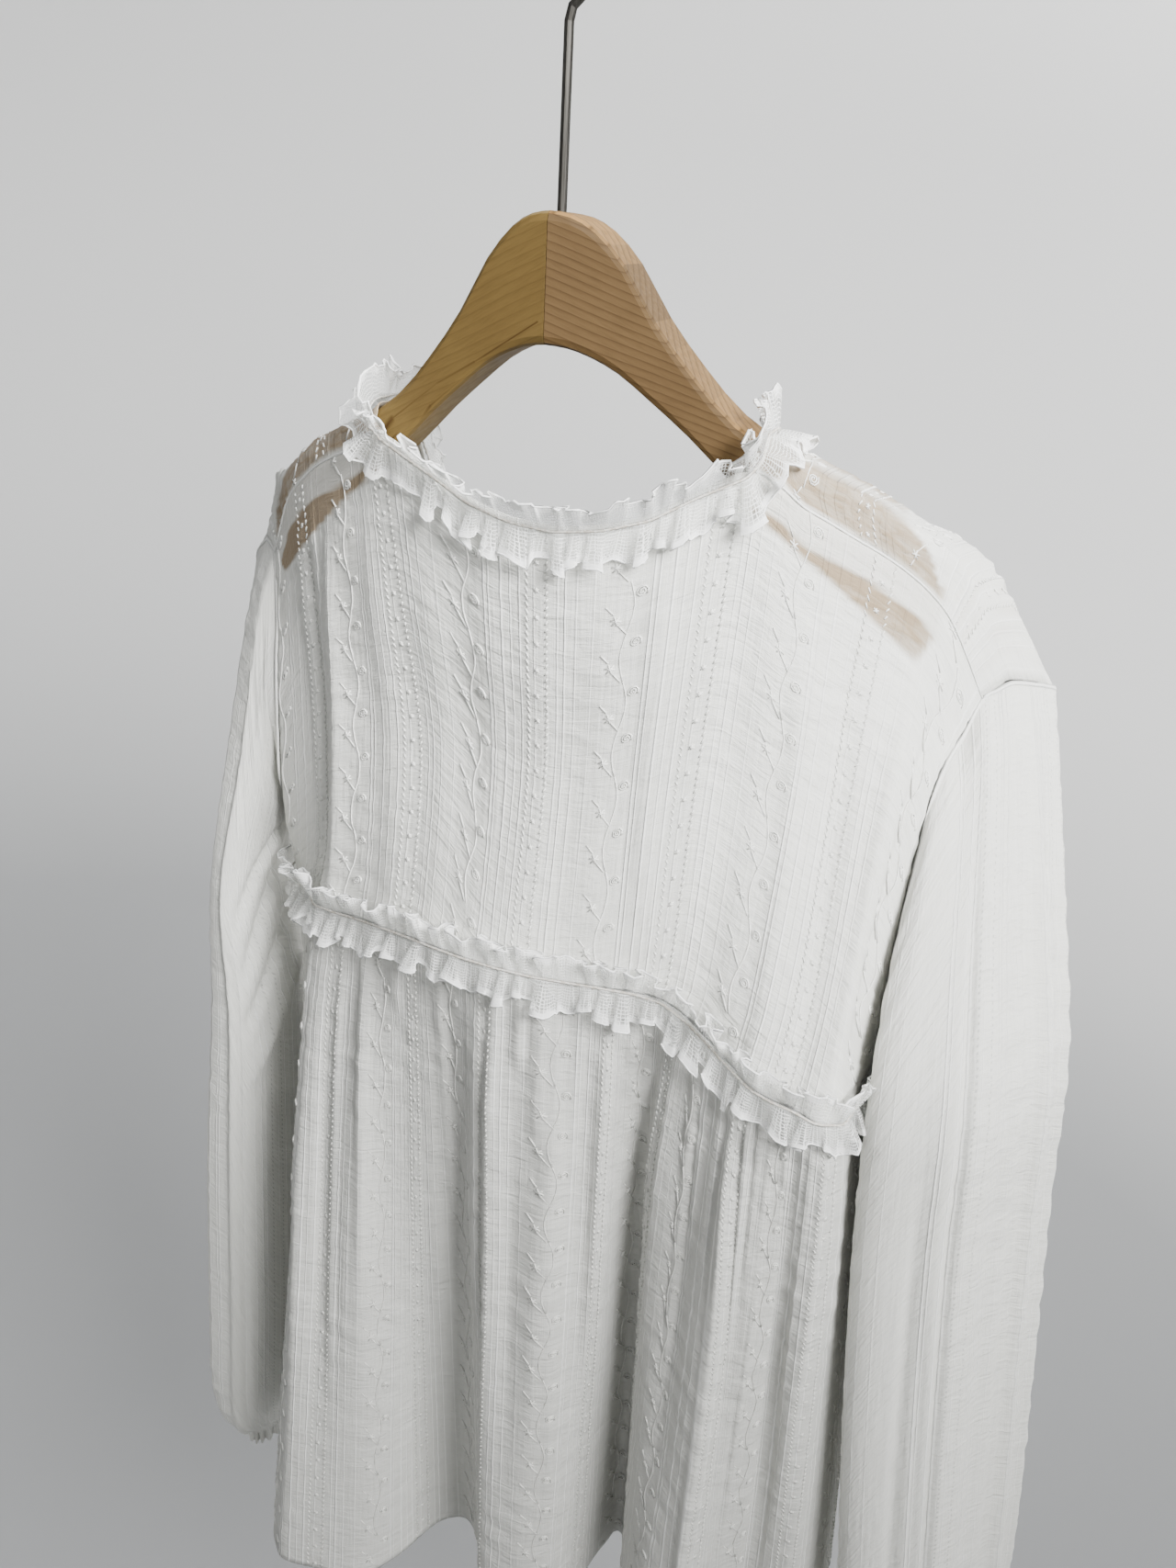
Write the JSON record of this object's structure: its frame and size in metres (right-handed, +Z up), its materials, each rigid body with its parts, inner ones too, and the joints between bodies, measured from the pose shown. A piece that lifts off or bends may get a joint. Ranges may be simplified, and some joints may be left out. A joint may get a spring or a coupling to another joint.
{
  "type": "frill blouse on a wooden hanger",
  "caption": "Long-sleeved sheer cotton blouse with lace frills at neck and waist and a gathered peplum, hung on a contoured wooden hanger with a steel hook.",
  "frame": {"origin": "the top of the inside of the hook, where a rail carries the hanger", "axes": "+Z up, +X to the wearer's left, +Y out of the blouse's back, the side that the picture shows"},
  "size_m": [0.5435, 0.2293, 0.9442],
  "materials": {
    "cotton": "sheer crinkled cotton with embroidered stripes",
    "lace": "fine net lace with a corded scalloped edge",
    "wood_left": "dark satin wood with fine grain",
    "wood_right": "red-brown satin wood with open grain",
    "steel": "satin round wire"
  },
  "bodies": {
    "root": {"hanger_left": "wood_left", "hanger_right": "wood_right", "hook": "steel", "back_bodice": "cotton", "front_bodice": "cotton", "back_peplum": "cotton", "front_peplum": "cotton", "sleeve_right": "cotton", "sleeve_left": "cotton", "neck_frill": "lace", "waist_frill": "lace"}
  },
  "joints": []
}
